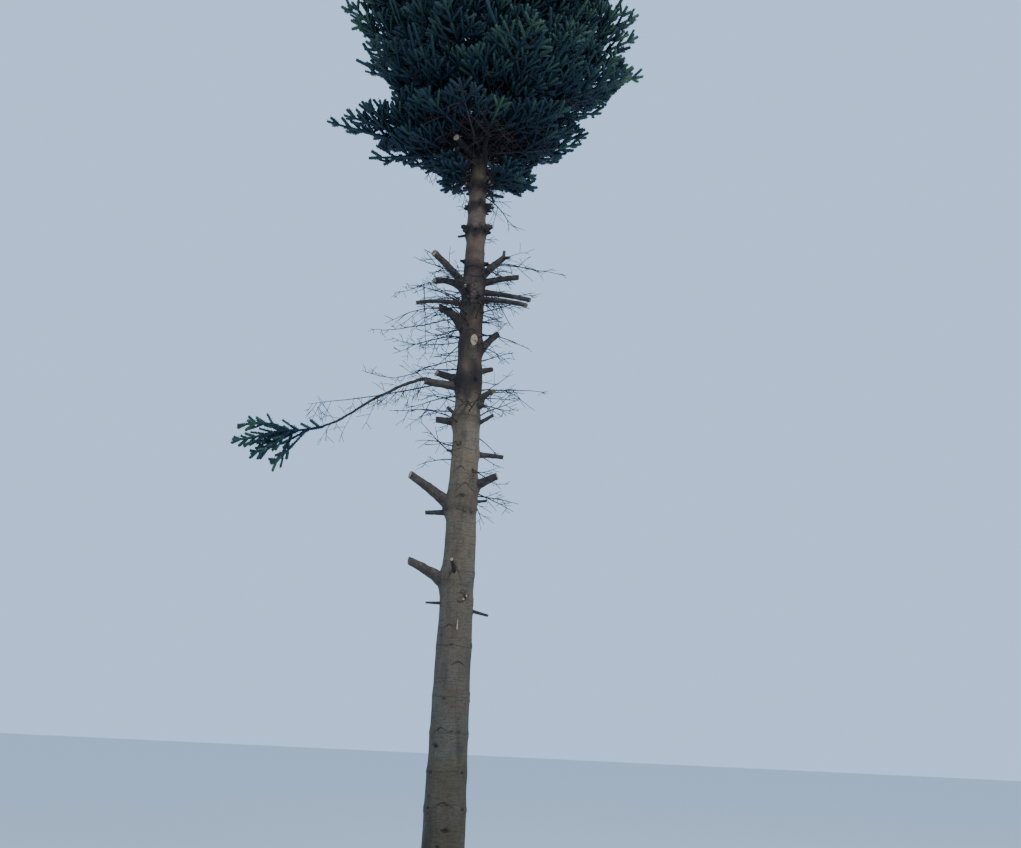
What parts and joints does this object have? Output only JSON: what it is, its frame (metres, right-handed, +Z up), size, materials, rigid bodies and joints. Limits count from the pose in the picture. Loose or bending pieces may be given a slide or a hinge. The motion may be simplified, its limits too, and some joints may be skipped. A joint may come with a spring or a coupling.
{
  "type": "partly limbed fir tree",
  "caption": "Tall garden fir, bare pole with cut stubs and dead twigs below, one long live bough, dense crown on top.",
  "frame": {"origin": "middle of the flat cut under the trunk, at ground level", "axes": "+Z up the trunk, +X towards the right of the picture, +Y away from its camera"},
  "size_m": [3.2153, 2.6431, 10.7203],
  "materials": {
    "bark": "smooth grey-brown bark with resin blisters, branch rings and knots",
    "dead_twig": "dry dark dead twigs",
    "needles": "dark blue-green needles on brown shoots"
  },
  "bodies": {
    "root": {"crown_leader": "needles", "crown_ring_1_bough_1": "needles", "crown_ring_1_bough_2": "needles", "crown_ring_2_bough_1": "needles", "crown_ring_2_bough_2": "needles", "crown_ring_2_bough_3": "needles", "crown_ring_2_bough_4": "needles", "crown_ring_3_bough_1": "needles", "crown_ring_3_bough_2": "needles", "crown_ring_3_bough_3": "needles", "crown_ring_3_bough_4": "needles", "crown_ring_3_bough_5": "needles", "crown_ring_4_bough_1": "needles", "crown_ring_4_bough_2": "needles", "crown_ring_4_bough_3": "needles", "crown_ring_4_bough_4": "needles", "crown_ring_5_bough_1": "needles", "crown_ring_5_bough_2": "needles", "crown_ring_5_bough_3": "needles", "crown_ring_5_bough_4": "needles", "crown_ring_5_bough_5": "needles", "crown_ring_6_bough_1": "needles", "crown_ring_6_bough_2": "needles", "crown_ring_6_bough_3": "needles", "crown_ring_7_bough_1": "needles", "crown_ring_7_bough_2": "needles", "crown_ring_7_bough_3": "needles", "crown_ring_8_bough_1": "needles", "crown_ring_8_bough_2": "needles", "crown_ring_8_bough_3": "needles", "dead_spray_crown_foot": "dead_twig", "dead_spray_left_a": "dead_twig", "dead_spray_left_b": "dead_twig", "dead_spray_left_c": "dead_twig", "dead_spray_right_a": "dead_twig", "dead_spray_right_b": "dead_twig", "long_bough": "bark", "long_bough_foliage": "needles", "stub_back_a": "bark", "stub_back_b": "bark", "stub_crown_foot": "bark", "stub_front": "bark", "stub_left_a": "bark", "stub_left_b": "bark", "stub_left_c": "bark", "stub_left_d": "bark", "stub_left_e": "bark", "stub_left_f": "bark", "stub_left_g": "bark", "stub_left_h": "bark", "stub_left_i": "bark", "stub_right_a": "bark", "stub_right_b": "bark", "stub_right_c": "bark", "stub_right_d": "bark", "stub_right_e": "bark", "stub_right_f": "bark", "stub_right_g": "bark", "stub_right_h": "bark", "trunk": "bark"}
  },
  "joints": []
}
